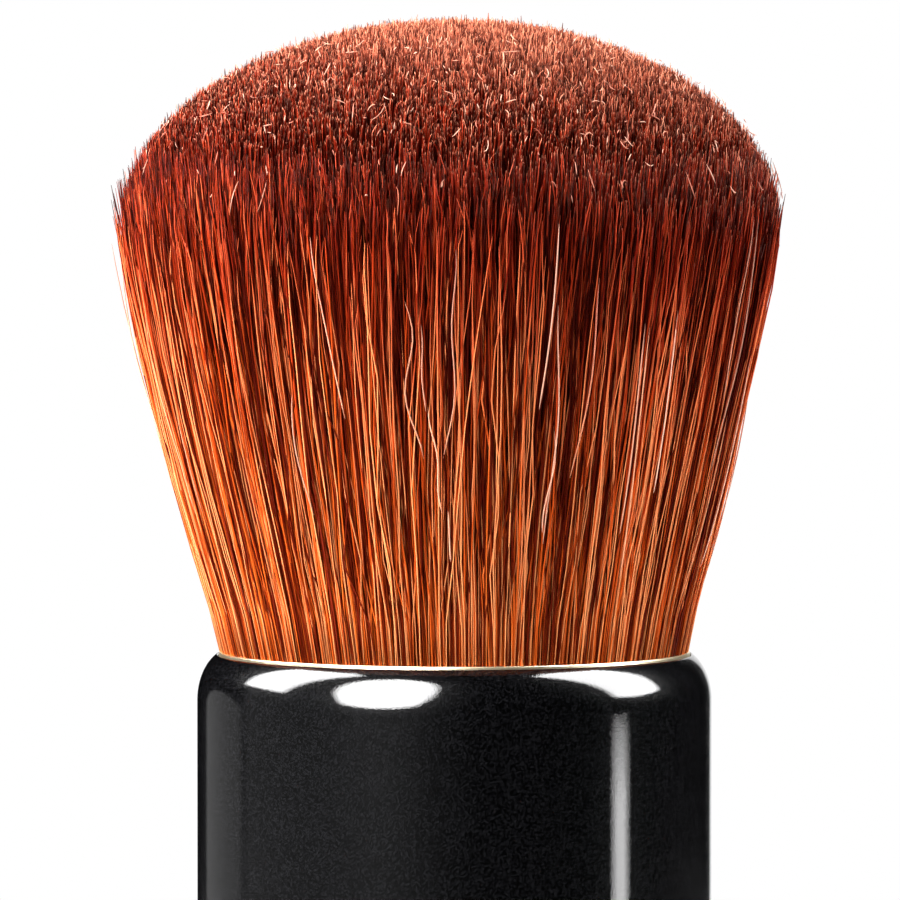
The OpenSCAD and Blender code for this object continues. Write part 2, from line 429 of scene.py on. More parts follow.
def finishCord(look):
    # Twisted cotton: the plies run slantwise round each turn, with painted shade as soft dark lines
    # between them
    material, tree, shader = newMaterial("twistedCotton", 0.88)
    place = objectPlace(tree)
    around = addNode(tree, "ShaderNodeTexGradient", {"gradient_type": "RADIAL"}, {"Vector": place})
    height = addNode(tree, "ShaderNodeSeparateXYZ", inputs={0: place}).outputs["Z"]
    climb = addNode(tree, "ShaderNodeMath", {"operation": "MULTIPLY"},
                    {0: height, 1: 1 / look["cordPitch"]})
    slant = addNode(tree, "ShaderNodeMath", {"operation": "MULTIPLY_ADD"},
                    {0: around.outputs["Fac"], 1: look["twist"], 2: climb.outputs[0]})
    ply = addNode(tree, "ShaderNodeMath", {"operation": "PINGPONG"}, {0: slant.outputs[0], 1: 0.5})
    # painted shade: darker where the plies meet
    tone = setRamp(addNode(tree, "ShaderNodeValToRGB", inputs={0: ply.outputs[0]}), [
        (0.04, "#9A8A6C"), (0.3, "#DCCFB2")])
    fuzz = addNode(tree, "ShaderNodeTexNoise", inputs={
        "Vector": place, "Scale": 1 / look["fuzz"], "Detail": 3.0})
    height = addNode(tree, "ShaderNodeMath", {"operation": "MULTIPLY_ADD"},
                     {0: fuzz.outputs[0], 1: 0.3, 2: ply.outputs[0]})
    joinFinish(tree, shader, tone, height, 0.8, 0.15 * mm)
    return material


def finishInside(look):
    finishes = {
        "weight_pad": finishFoam(look),
        "weight_slug": finishSteel(look),
        "handle_liner": finishLiner(look),
        "ferrule_bond": finishResin("curedEpoxyGlue", "#C7B76F", "#DFD293", look),
        "knot_resin": finishResin("curedEpoxyPlug", "#6E3F18", "#94602A", look),
        "binding_cord": finishCord(look),
    }
    for node, material in finishes.items():
        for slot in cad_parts[node].material_slots:
            slot.material = material


finishInside(inside)
print("stage 3: inner pieces finished")


# Bristle head: each strand runs from its place in the ferrule to the same place in the wider dome

head = {
    "rootRadius": 14.35 * mm,
    "bellyRadius": 20.6 * mm,
    "bellyHeight": 27 * mm,       # above the ferrule's edge
    "domeHeight": 12.4 * mm,
    "flare": 1.26,                # how soon the head reaches its full width
    "leanLeft": 0.35 * mm,        # the head bulges a little to the left at half height
    "strands": 72000,
    "width": 0.115 * mm,          # one filament, a little coarser than real
    "corner": 0.58,               # how far out a strand's three corners lie, as a share of its width
    "shellPlace": 0.916,          # strands outside this share of the radius show along their whole length
    "middlePlace": 0.65,          # shares of the radius at which the pieces of the crown meet
    "corePlace": 0.3,
    "crownShows": 5 * mm,         # how much of an inner strand is drawn, below its tip
    "rootBury": 0.8 * mm,         # how far the strands start below the ferrule's edge
    "heartDeep": 1.5 * mm,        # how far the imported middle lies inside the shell
    "heartLow": 3.4 * mm,         # and how far its top lies below the dome's
}

# how the strands stray from straight lines and an even dome
lie = {
    "tuft": 0.1 * mm,             # how far strands gather sideways into tufts
    "curl": 0.2 * mm,             # how far a strand waves about its own line
    "innerCurl": 0.35,            # how much of that is left inside the head
    "waves": (5, 16),             # how fast it waves, in radians on the way to the belly
    "swing": 0.3 * mm,            # how far a strand leans aside on the way to the belly
    "crossing": 0.35,             # share of the shell's strands that lean across their neighbours
    "crossingSwing": 1.1 * mm,
    "puff": 0.08 * mm,            # how far a strand waves outwards
    "standOff": 0.08,             # share of the outermost ones that stand off near their ends
    "standOffReach": (0.1, 0.6),  # in mm, as the other reaches here
    "tipCurl": 0.08 * mm,         # how far the end of a tip turns aside
    "lightTipCurl": 0.14 * mm,    # the same, for strands that took little dye
    "tipBend": 1.6 * mm,          # the length of a tip that turns aside slowly
    "tipHook": 0.7 * mm,          # and the length of its end that hooks over
    "tipLow": 0.3 * mm,           # how far the tips end below the dome's own height
    "tipUneven": 0.16 * mm,
    "proud": 0.01,                # share of the strands that stand above the rest
    "proudReach": (0.1, 0.5),
    "lightProud": 0.12 * mm,      # how far strands that took little dye stand above the rest
    "fallShort": 0.6 * mm,        # how unevenly the strands end at the rim of the dome
    "cutShort": 0.45,             # share of the outermost strands that end further down
    "cutShortReach": (0, 5),
}

# the waves that draw strands together: strength, turns round the head, across it and upwards, and start
tuftWaves = [
    (1.0, 31, 5, 1.3, 0.4),
    (0.9, 53, -7, 3.1, 2.1),
    (0.8, 89, 9, -4.3, 1.7),
    (0.6, 127, -8, 6.5, 5.2),
    (1.6, 13, 0, 3, 0.9),
]

# where the points of a strand lie along it, and how wide it is at each
strandShapes = {
    "shell": (np.array([0, 0.13, 0.27, 0.42, 0.57, 0.72, 0.85, 0.95, 1]),
              np.array([0.65, 0.82, 0.92, 0.92, 0.92, 0.92, 0.84, 0.68, 0.25])),
    "crown": (np.array([0, 0.86, 0.95, 1]),
              np.array([0.58, 0.58, 0.55, 0.25])),
}

dyeBath = {
    "surface": 0.034,             # share of the shell's strands on top that took hardly any dye: painted highlight lines
    "light": 0.15,                # share of the others that took little dye
    "middling": 0.33,             # share that took a middling amount, and the rest are dark
    "surfaceTook": (-0.25, 0),    # how much dye each kind took, where 1 is the most
    "lightTook": (0, 0.25),
    "middlingTook": (0.3, 0.6),
    "darkTook": (0.65, 1),
    "strayTook": (-1, -0.4),
    "surfaceSize": (0.5, 0.85),   # how wide each kind is, as a share of the usual width
    "lightSize": (0.75, 1.1),
    "otherSize": (0.75, 1.15),
    "darkOnCrown": 1.1,           # how much wider or narrower they are on the crown
    "otherOnCrown": 0.78,
    "paintedSideLight": 0.16,                # painted side light: the colour bands tilt, as a slope, lighter on the left
    "farFromTip": 9,              # mm from a tip, told to the material where no tip should show
}

# colours from the root to the top of the head, for strands that took little, middling and much dye;
# the lighter stops at the very top are partly painted light from above
dyeColours = {
    "little": [(0.0, "#FFA264"), (0.3, "#FF9C62"), (0.5, "#FF8852"), (0.62, "#D65430"),
               (0.72, "#A8341C"), (0.85, "#D84C2C"), (1.0, "#FFAA88")],
    "middling": [(0.0, "#EC6C26"), (0.3, "#DE581C"), (0.5, "#C03E18"), (0.69, "#80190B"),
                 (0.85, "#861A0A"), (1.0, "#BA482C")],
    "much": [(0.0, "#701C08"), (0.3, "#520F05"), (0.5, "#420A04"), (0.7, "#2E0403"),
             (0.85, "#300402"), (1.0, "#601A0E")],
}


def headRadius(height):
    rise = np.clip(height / head["bellyHeight"], 0, 1)
    spread = 1 - (1 - rise) ** head["flare"]
    return head["rootRadius"] + (head["bellyRadius"] - head["rootRadius"]) * spread


def tipHeight(place):
    return head["bellyHeight"] + head["domeHeight"] * np.sqrt(np.clip(1 - place ** 2, 0, 1))


def strandPaths(place, angle, tip, start, end, along, swing, tipCurl, rng):
    # gives the points of each strand, and how far each point is from the strand's tip.
    # tip is the height of its own tip above the ferrule, and it is drawn from start to end
    count = len(place)
    height = start[:, None] + (end - start)[:, None] * along[None, :]
    rise = np.clip(height / tipHeight(place)[:, None], 0, 1)
    share = np.clip(height / head["bellyHeight"], 0, 1.5)
    spread = 1 - (1 - rise) ** head["flare"]
    radius = place[:, None] * (head["rootRadius"] + (head["bellyRadius"] - head["rootRadius"]) * spread)
    around = angle[:, None]
    inner = place[:, None]
    # neighbours drift together and apart, which gathers them into tufts
    tuft = 0
    for strength, turns, across, upwards, phase in tuftWaves:
        tuft = tuft + strength * np.sin(turns * around + across * inner + upwards * share + phase)
    lean = swing[:, None] * share
    turn = rng.uniform(0, 2 * math.pi, (count, 1))
    waves = rng.uniform(*lie["waves"], (count, 1))
    curl = rng.normal(0, lie["curl"], (count, 1)) * (np.sin(waves * share + turn) - np.sin(turn))
    curl *= np.where(inner > head["shellPlace"], 1, lie["innerCurl"])
    # the ferrule holds the roots in line
    aside = (lie["tuft"] * tuft * share + lean + curl) * np.minimum(1, 4 * share)
    outward = rng.normal(0, lie["puff"], (count, 1)) * share * np.sin(waves * share + turn)
    # a few of the outer ones stand off near their ends
    loose = rng.random((count, 1)) < lie["standOff"]
    standOff = loose * rng.uniform(*lie["standOffReach"], (count, 1)) * mm
    outward = outward + standOff * (inner > 0.93) * np.clip(share - 0.3, 0, 1) ** 2 * 2
    # the tip turns aside in a direction of its own, and hooks over at its very end
    toTip = tip[:, None] - height
    nearTip = 0.3 * np.clip(1 - toTip / lie["tipBend"], 0, 1) ** 1.5
    nearTip += np.clip(1 - toTip / lie["tipHook"], 0, 1) ** 1.5
    tipTurn = rng.uniform(0, 2 * math.pi, (count, 1))
    tipReach = tipCurl[:, None] * 2.6 * rng.random((count, 1)) ** 2 * nearTip
    aside = aside + tipReach * np.cos(tipTurn)
    radius = radius + outward + tipReach * np.sin(tipTurn) * np.minimum(1, 1.6 * (1 - inner) + 0.25)
    x = radius * np.cos(around) - aside * np.sin(around)
    x -= head["leanLeft"] * np.sin(math.pi * np.minimum(share / 1.45, 1))
    y = radius * np.sin(around) + aside * np.cos(around)
    z = ferruleTop + height - 0.4 * tipReach
    return np.stack([x, y, z], 2), toTip


def makeProfile():
    # triangle that is swept along each strand, drawn clockwise so that the faces look outwards
    curve = bpy.data.curves.new("strandProfile", "CURVE")
    curve.dimensions = "2D"
    spline = curve.splines.new("POLY")
    spline.points.add(2)
    for i, point in enumerate(spline.points):
        turn = -2 * math.pi * i / 3
        point.co = (math.cos(turn), math.sin(turn), 0, 1)
    spline.use_cyclic_u = True
    profile = bpy.data.objects.new("strandProfile", curve)
    bpy.context.scene.collection.objects.link(profile)
    return profile


def growStrands(name, node, paths, thickness, toTip, shade, material, profile):
    # thickness is each strand's radius at each of its points, and shade its chance value and its dye
    count, points, _ = paths.shape
    curve = bpy.data.curves.new(name, "CURVE")
    curve.dimensions = "3D"
    curve.bevel_mode = "OBJECT"
    curve.bevel_object = profile
    curve.use_fill_caps = True
    spots = np.concatenate([paths, np.ones((count, points, 1))], 2).astype(np.float32)
    thickness = thickness.astype(np.float32)
    for i in range(count):
        spline = curve.splines.new("POLY")
        spline.points.add(points - 1)
        spline.points.foreach_set("co", spots[i].ravel())
        spline.points.foreach_set("radius", thickness[i])
        spline.points.foreach_set("tilt", np.full(points, 2 * math.pi * shade[i, 0], np.float32))
    source = bpy.data.objects.new(name + "Curve", curve)
    bpy.context.scene.collection.objects.link(source)
    graph = bpy.context.evaluated_depsgraph_get()
    mesh = bpy.data.meshes.new_from_object(source.evaluated_get(graph), depsgraph=graph)
    bpy.data.objects.remove(source)
    bpy.data.curves.remove(curve)
    mesh.name = name
    # what the material reads: distance to the tip in mm, chance value and dye. The sweep's mesh starts
    # with the end caps, last strand first, and then has three corners for each point
    values = np.stack([toTip / mm, *np.broadcast_to(shade.T[:, :, None], (2, count, points))], 2)
    caps = np.repeat(values[::-1, [-1, 0]], 3, 1).reshape(-1, 3)
    sides = np.repeat(values, 3, 1).reshape(-1, 3)
    strand = mesh.attributes.new("strand", "FLOAT_VECTOR", "POINT")
    strand.data.foreach_set("vector", np.concatenate([caps, sides]).astype(np.float32).ravel())
    bm = bmesh.new()
    bm.from_mesh(mesh)
    bpy.data.meshes.remove(mesh)
    bmesh.ops.remove_doubles(bm, verts=bm.verts[:], dist=0.0002 * mm)
    return finishPiece(bm, name, material, "bristles", node)


def makeFilament(look):
    # Dyed synthetic filament: satin, and each strand took its own amount of dye. More dye turns it
    # from a pinkish gold over orange to maroon. Painted highlight and shade come and go along each
    # strand with its crimp, the tapered tips on the crown are pale, partly as painted light from above,
    # each tip on the dome has a painted glint, and painted side light makes the left side lighter
    material, tree, shader = newMaterial("dyedFilamentPaintedLight", 0.32)
    place = addNode(tree, "ShaderNodeTexCoord")
    split = addNode(tree, "ShaderNodeSeparateXYZ", inputs={0: place.outputs["Object"]})
    # painted side light: the colour bands are tilted, so the dark band sits lower on the right and the
    # left side is lighter
    paintedSideLight = addNode(tree, "ShaderNodeMath", {"operation": "MULTIPLY_ADD"},
                    {0: split.outputs["X"], 1: look["paintedSideLight"], 2: split.outputs["Z"]})
    height = addNode(tree, "ShaderNodeMapRange", inputs={
        0: paintedSideLight.outputs[0], 1: ferruleTop, 2: ferruleTop + head["bellyHeight"] + head["domeHeight"]})
    # the attribute holds the distance to the tip, a chance value and the dye that the strand took
    strand = addNode(tree, "ShaderNodeAttribute", {"attribute_name": "strand"})
    values = addNode(tree, "ShaderNodeSeparateXYZ", inputs={0: strand.outputs["Vector"]})
    toTip, chance, took = values.outputs
    # each strand changes colour a little sooner or later than the next
    shift = addNode(tree, "ShaderNodeMath", {"operation": "MULTIPLY_ADD"}, {0: chance, 1: 0.24, 2: -0.12})
    shifted = addNode(tree, "ShaderNodeMath", {"operation": "ADD"},
                      {0: height.outputs[0], 1: shift.outputs[0]})
    ramps = {kind: setRamp(addNode(tree, "ShaderNodeValToRGB", inputs={0: shifted.outputs[0]}), stops)
             for kind, stops in dyeColours.items()}
    # painted highlight and shade: the colour comes and goes about six times between the root and the top,
    # as the crimp turns each strand to and from the light
    along = addNode(tree, "ShaderNodeMath", {"operation": "MULTIPLY"}, {0: height.outputs[0], 1: 6.0})
    spot = addNode(tree, "ShaderNodeMath", {"operation": "MULTIPLY_ADD"},
                   {0: chance, 1: 97.0, 2: along.outputs[0]})
    crimp = addNode(tree, "ShaderNodeTexNoise", {"noise_dimensions": "1D"},
                    {"W": spot.outputs[0], "Scale": 1.0, "Detail": 1.0})
    crimp = addNode(tree, "ShaderNodeMath", {"operation": "MULTIPLY_ADD"},
                    {0: crimp.outputs[0], 1: 0.6, 2: -0.3})
    dyeAndPaintedLight = addNode(tree, "ShaderNodeMath", {"operation": "ADD"}, {0: took, 1: crimp.outputs[0]})
    shares = {
        "little": ("LINEAR", dyeAndPaintedLight.outputs[0], 0.32, 0.1, 0, 1),
        "much": ("LINEAR", dyeAndPaintedLight.outputs[0], 0.45, 0.75, 0, 1),
        # pale tips, partly the tapered ends and partly painted light from above: the last 0.8 mm on top
        # of the crown, hardly any on its front
        "crown": ("SMOOTHSTEP", height.outputs[0], 0.86, 1.01, 0, 1),
        "nearTip": ("SMOOTHSTEP", toTip, 0.8, 0.1, 0, 1),
        # and a painted glint, a pale dot where each strand ends, from the edge of the dome upwards
        "dome": ("LINEAR", height.outputs[0], 0.7, 0.8, 0, 0.85),
        "tipGlint": ("LINEAR", toTip, 0.2, 0.06, 0, 1),
        # hardly any paleness on the darkest strands
        "fresh": ("LINEAR", dyeAndPaintedLight.outputs[0], 0, 0.75, 1, 0.08),
        # undyed strays and loose ends
        "bare": ("LINEAR", took, -0.25, -1, 0, 0.9),
    }
    for kind, (way, source, begins, ends, low, high) in shares.items():
        shares[kind] = addNode(tree, "ShaderNodeMapRange", {"interpolation_type": way}, {
            0: source, 1: begins, 2: ends, 3: low, 4: high}).outputs[0]
    tips = addNode(tree, "ShaderNodeMath", {"operation": "MULTIPLY"},
                   {0: shares["crown"], 1: shares["nearTip"]})
    # painted glints at the tips on the dome
    dots = addNode(tree, "ShaderNodeMath", {"operation": "MULTIPLY"},
                   {0: shares["tipGlint"], 1: shares["dome"]})
    pale = addNode(tree, "ShaderNodeMath", {"operation": "MAXIMUM"},
                   {0: tips.outputs[0], 1: dots.outputs[0]})
    pale = addNode(tree, "ShaderNodeMath", {"operation": "MULTIPLY"},
                   {0: pale.outputs[0], 1: shares["fresh"]})
    layers = [
        (shares["little"], ramps["little"].outputs[0]),
        (shares["much"], ramps["much"].outputs[0]),
        # pale tips and glints, partly painted light
        (pale.outputs[0], toLinear("#FFA680")),
        (shares["bare"], toLinear("#FFCCB2")),
    ]
    colour = ramps["middling"].outputs[0]
    for share, over in layers:
        mix = addNode(tree, "ShaderNodeMix", {"data_type": "RGBA"}, {0: share, 6: colour, 7: over})
        colour = mix.outputs[2]
    tree.links.new(colour, shader.inputs["Base Color"])
    shader.inputs["IOR"].default_value = 1.53
    shader.inputs["Specular IOR Level"].default_value = 0.05
    shader.inputs["Specular Tint"].default_value = toLinear("#FFA880")
    return material


def plantStrands(rng):
    # gives each strand's place in the head, its tip and lean, its chance value and dye, and its size
    count = head["strands"]
    index = np.arange(count)
    # a spiral spreads them evenly, and each is then moved a little out of its place
    jitter = 0.6 / math.sqrt(count)
    place = np.clip(np.sqrt((index + 0.5) / count) + rng.normal(0, jitter, count), 0, 1)
    # the surface strands are pale lines on top of the shell: painted highlight
    surface = (place > head["shellPlace"]) & (rng.random(count) < dyeBath["surface"])
    place = np.where(surface, rng.uniform(0.985, 1.006, count), place)
    angle = (index * math.pi * (3 - math.sqrt(5)) + rng.normal(0, 0.012, count)) % (2 * math.pi)
    tip = tipHeight(place) + rng.normal(0, lie["tipUneven"], count) - lie["tipLow"]
    tip += (rng.random(count) < lie["proud"]) * rng.uniform(*lie["proudReach"], count) * mm
    # towards the rim they end less evenly, and many of the outermost stop short on the side
    tip -= rng.exponential(lie["fallShort"], count) * np.clip((place - 0.3) / 0.7, 0, 1)
    edge = np.clip((place - 0.5) / 0.5, 0, 1) ** 2
    short = rng.random(count) < lie["cutShort"] * edge ** 2
    tip -= short * rng.uniform(*lie["cutShortReach"], count) * mm
    crossing = (rng.random(count) < lie["crossing"]) & (place > head["shellPlace"])
    swing = rng.normal(0, lie["swing"], count) + crossing * rng.normal(0, lie["crossingSwing"], count)
    kind = rng.random(count)
    light = kind < dyeBath["light"]
    dark = kind > dyeBath["light"] + dyeBath["middling"]
    took = rng.uniform(*dyeBath["lightTook"], count)
    took = np.where(light, took, rng.uniform(*dyeBath["middlingTook"], count))
    took = np.where(dark, rng.uniform(*dyeBath["darkTook"], count), took)
    took = np.where(surface, rng.uniform(*dyeBath["surfaceTook"], count), took)
    shade = np.stack([rng.random(count), took], 1)
    size = rng.uniform(*dyeBath["lightSize"], count)
    size = np.where(light, size, rng.uniform(*dyeBath["otherSize"], count))
    size = np.where(surface, rng.uniform(*dyeBath["surfaceSize"], count), size)
    # on the crown the dark ones fill the head, and the others show as thin lines between them
    onCrown = np.where(dark, dyeBath["darkOnCrown"], dyeBath["otherOnCrown"])
    size *= np.where(place > head["shellPlace"], 1, onCrown)
    # the light ones stand a little above the rest, and their tips turn further aside
    tip += np.where(light, lie["lightProud"], 0)
    tipCurl = np.where(light, lie["lightTipCurl"], lie["tipCurl"])
    return {"place": place, "angle": angle, "tip": tip, "swing": swing, "tipCurl": tipCurl,
            "shade": shade, "size": size}


def growPart(name, node, strands, chosen, shape, material, profile, rng):
    along, taper = strandShapes[shape]
    place, angle, tip, swing, tipCurl, shade, size = [values[chosen] for values in strands.values()]
    start = tip - head["crownShows"]
    if shape == "shell":
        start = np.full(len(tip), -head["rootBury"])
    paths, toTip = strandPaths(place, angle, tip, start, tip, along, swing, tipCurl, rng)
    thickness = head["corner"] * head["width"] * size[:, None] * taper[None, :]
    growStrands(name, node, paths, thickness, toTip, shade, material, profile)


def makeHead():
    rng = np.random.default_rng(41)
    profile = makeProfile()
    material = makeFilament(dyeBath)
    strands = plantStrands(rng)
    place, angle = strands["place"], strands["angle"]
    shell = place >= head["shellPlace"]
    middle = (place >= head["corePlace"]) & (place < head["middlePlace"])
    rings = [
        ("bristle_shell", "bristles_outer", shell, "shell"),
        ("crown_outer", "bristles_outer", (place >= head["middlePlace"]) & ~shell, "crown"),
        ("crown_middle", "bristles_middle", middle, "crown"),
    ]
    quarter = math.pi / 2
    for part in range(4):
        sector = (angle >= part * quarter) & (angle < (part + 1) * quarter)
        for name, node, ring, shape in rings:
            growPart(f"{name}_{part + 1}", node, strands, ring & sector, shape, material, profile, rng)
    core = place < head["corePlace"]
    growPart("crown_core", "bristles_core", strands, core, "crown", material, profile, rng)
    growStrays(strays, material, profile, rng)
    growLooseEnds(looseEnds, material, profile, rng)
    bpy.data.objects.remove(profile)
    makeHeart(material)


strays = {
    "count": 50,
    "starts": (0.5, 17),          # mm above the ferrule's edge
    "length": (3, 16),            # mm
    "swing": 1.4 * mm,
    "wave": 0.2 * mm,             # how far they swing from side to side
    "waves": (3, 9),              # and how fast, in radians over their length
    "liftOff": 0.2 * mm,          # how far they leave the surface between their ends
    "corner": 0.5,                # how far out their corners lie, as a share of a strand's width
}


def growStrays(look, material, profile, rng):
    # pale strands that wander over the surface, thrown out of line by the crimp
    count = look["count"]
    angle = rng.uniform(0, 2 * math.pi, count)
    start = rng.uniform(*look["starts"], count) * mm
    end = np.minimum(start + rng.uniform(*look["length"], count) * mm, head["bellyHeight"])
    along = np.linspace(0, 1, 13)
    swing = rng.normal(0, look["swing"], count)
    tip = np.full(count, head["bellyHeight"])
    paths, _ = strandPaths(np.ones(count), angle, tip, start, end, along, swing, np.zeros(count), rng)
    turn = rng.uniform(0, 2 * math.pi, (count, 1))
    wave = np.abs(rng.normal(0, look["wave"], (count, 1)))
    wave = wave * np.sin(rng.uniform(*look["waves"], (count, 1)) * along + turn)
    out = look["liftOff"] * np.sin(math.pi * along)[None, :]
    around = angle[:, None]
    paths[:, :, 0] += out * np.cos(around) - wave * np.sin(around)
    paths[:, :, 1] += out * np.sin(around) + wave * np.cos(around)
    shade = np.stack([rng.random(count), rng.uniform(*dyeBath["strayTook"], count)], 1)
    taper = np.array([0.3, *[0.9] * 10, 0.6, 0.12])
    thickness = look["corner"] * head["width"] * np.ones((count, 1)) * taper[None, :]
    far = np.full((count, len(along)), dyeBath["farFromTip"] * mm)
    growStrands("stray_strands", "bristles_outer", paths, thickness, far, shade, material, profile)


looseEnds = {
    "count": 800,
    "spread": (0.15, 0.98),       # square of their place between the middle and the rim
    "dots": 0.6,                  # share of them that are mere dots
    "dotLength": (0.08, 0.2),     # mm
    "length": (0.3, 0.7),
    "long": 0.03,                 # share of them that are longer
    "longer": (0.3, 0.9),         # mm
    "bend": 0.7,                  # radians, the usual turn from the middle to an end
    "sunk": (-0.6, 0),            # mm, height against the dome's surface
    "tilt": (-0.5, 0.5),          # mm by which one end lies above the other
    "corner": 0.36,
}


def growLooseEnds(look, material, profile, rng):
    # short pale ends that lie across the dome
    count = look["count"]
    place = np.sqrt(rng.uniform(*look["spread"], count))
    angle = rng.uniform(0, 2 * math.pi, count)
    dots = rng.random(count) < look["dots"]
    length = rng.uniform(*look["dotLength"], count)
    length = np.where(dots, length, rng.uniform(*look["length"], count)) * mm
    length += (rng.random(count) < look["long"]) * rng.uniform(*look["longer"], count) * mm
    heading = rng.uniform(0, 2 * math.pi, count)
    bend = rng.normal(0, look["bend"], count)
    along = np.linspace(-0.5, 0.5, 5)
    # each is a short arc whose direction turns by its bend on either side of its middle
    x = length[:, None] * along * np.cos(heading)[:, None]
    y = length[:, None] * along * np.sin(heading)[:, None]
    bow = (bend * length)[:, None] * (along ** 2)
    x -= bow * np.sin(heading)[:, None]
    y += bow * np.cos(heading)[:, None]
    x += (place * head["bellyRadius"] * np.cos(angle))[:, None]
    y += (place * head["bellyRadius"] * np.sin(angle))[:, None]
    sunk = rng.uniform(*look["sunk"], count)[:, None]
    lift = (sunk + rng.uniform(*look["tilt"], count)[:, None] * along) * mm
    z = ferruleTop + tipHeight(np.hypot(x, y) / head["bellyRadius"]) + lift
    paths = np.stack([x, y, z], 2)
    taper = np.array([0.35, 0.8, 0.9, 0.8, 0.25])
    thickness = look["corner"] * head["width"] * np.ones((count, 1)) * taper[None, :]
    shade = np.stack([rng.random(count), rng.uniform(*dyeBath["strayTook"], count)], 1)
    far = np.full((count, len(along)), dyeBath["farFromTip"] * mm)
    growStrands("loose_ends", "bristles_middle", paths, thickness, far, shade, material, profile)


def makeHeart(material):
    # The imported middle of the head, one solid in dark colour as painted shade, of which only the
    # shadow between the strands shows
    bm = bmesh.new()
    bmesh.ops.create_uvsphere(bm, u_segments=96, v_segments=64, radius=1)
    for vert in bm.verts:
        flat = math.hypot(vert.co.x, vert.co.y)
        if vert.co.z >= 0:
            reach = head["bellyRadius"] - head["heartDeep"]
            height = head["bellyHeight"] + (head["domeHeight"] - head["heartLow"]) * vert.co.z
        else:
            height = head["bellyHeight"] * (1 + 2 * math.asin(max(-1, vert.co.z)) / math.pi)
            reach = float(headRadius(height)) - head["heartDeep"]
            # the foot is closed within the last eighth of the radius
            reach = reach * min(1, 8 * flat) / max(flat, 1e-6)
        vert.co.x *= reach
        vert.co.y *= reach
        vert.co.z = ferruleTop + height
    # painted shade: the dark colour of much dye all over, and far from any tip
    strand = bm.verts.layers.float_vector.new("strand")
    for vert in bm.verts:
        vert[strand] = (dyeBath["farFromTip"], 0.5, 0.85)
    return finishPiece(bm, "bristle_heart", material, "bristles", "bristles_core")


makeHead()
print("stage 4: bristles grown")


# Studio: pale floor, white surround, soft lamps, and black flags that keep the gloss dark

studio = {
    "floorSolid": 0.11,       # metres from the brush at which the floor starts to fade into the surround
    "floorEnds": 0.19,
    "flagRadius": 0.26,
    "flagFoot": -0.05,
    "flagTop": 0.5,
    "flagOpens": 161,         # degrees to the right of the camera's side where the flags end
    "flagCloses": 183,
    "greySheet": (-112, -100, -38, 14),    # azimuths at which it begins, is full, fades and ends
    "sheetSolid": 0.1,
    "sheetTop": 0.17,
    "sheetGlow": 0.2,
    "fill": 0.35,
    "aimHeight": 45 * mm,
    "lampDistance": 0.24,
    "shineDistance": 0.238,   # just in front of the lamps for light, which would hide them otherwise
    "paperFibre": 0.5 * mm,
    "weave": 4 * mm,          # of the black cloth
}

# azimuth 0 is the camera's side and grows to the right; light reaches matt surfaces, shine is what
# glossy ones reflect, and both are radiances, where pi / solid angle would show a colour as written
lamps = {
    "keyLamp": {"azimuth": -38, "elevation": 26, "size": (0.21, 0.25), "light": 3.7},
    "leftLamp": {"azimuth": -86, "elevation": 30, "size": (0.22, 0.2), "light": 13.5},
    "rightLamp": {"azimuth": 108, "elevation": 28, "size": (0.2, 0.18), "light": 10},
    "backLamp": {"azimuth": 180, "elevation": 24, "size": (0.5, 0.36), "light": 1.5},
    "topLamp": {"azimuth": 180, "elevation": 72, "size": (0.2, 0.2), "light": 1.6},
    "keyShine": {"azimuth": -34, "elevation": 29.5, "size": (0.186, 0.27), "shine": 26,
                 "shape": "ELLIPSE"},
    "leftShine": {"azimuth": -98, "elevation": 40, "size": (0.125, 0.2), "shine": 20},
    "rightShine": {"azimuth": 91, "elevation": 37, "size": (0.13, 0.25), "shine": 20},
}
cards = {
    "stripCard": {"azimuth": 76.5, "height": 6.8 * mm, "distance": 0.2, "size": (0.0265, 0.022),
                  "shine": 11},
    "greyCard": {"azimuth": -125.5, "height": 10 * mm, "distance": 0.2, "size": (0.13, 0.09),
                 "shine": 0.3, "shape": "ELLIPSE"},
}


def makeWorld():
    world = bpy.data.worlds.new("paleSurround")
    bpy.context.scene.world = world
    world.use_nodes = True
    tree = world.node_tree
    tree.nodes.clear()
    path = addNode(tree, "ShaderNodeLightPath")
    seen = addNode(tree, "ShaderNodeMath", {"operation": "MAXIMUM"},
                   {0: path.outputs["Is Camera Ray"], 1: path.outputs["Is Glossy Ray"]})
    seen = addNode(tree, "ShaderNodeMath", {"operation": "MAXIMUM"},
                   {0: seen.outputs[0], 1: path.outputs["Is Transmission Ray"]})
    fill = addNode(tree, "ShaderNodeBackground", inputs={0: toLinear("#FFFFFF"), 1: studio["fill"]})
    white = addNode(tree, "ShaderNodeBackground", inputs={0: toLinear("#FFFFFF"), 1: 1.0})
    mix = addNode(tree, "ShaderNodeMixShader", inputs={
        0: seen.outputs[0], 1: fill.outputs[0], 2: white.outputs[0]})
    addNode(tree, "ShaderNodeOutputWorld", inputs={0: mix.outputs[0]})


def makeLamp(name, spot, aim, look):
    glossy = "shine" in look
    data = bpy.data.lights.new(name, "AREA")
    data.shape = look.get("shape", "RECTANGLE")
    data.size, data.size_y = look["size"]
    area = data.size * data.size_y * (math.pi / 4 if data.shape == "ELLIPSE" else 1)
    data.energy = look["shine" if glossy else "light"] * math.pi * area
    lamp = bpy.data.objects.new(name, data)
    bpy.context.scene.collection.objects.link(lamp)
    lamp.location = spot
    lamp.rotation_mode = "QUATERNION"
    lamp.rotation_quaternion = (spot - aim).to_track_quat("Z", "Y")
    lamp.visible_camera = False
    lamp.visible_glossy = glossy
    lamp.visible_diffuse = not glossy
    lamp.visible_transmission = not glossy


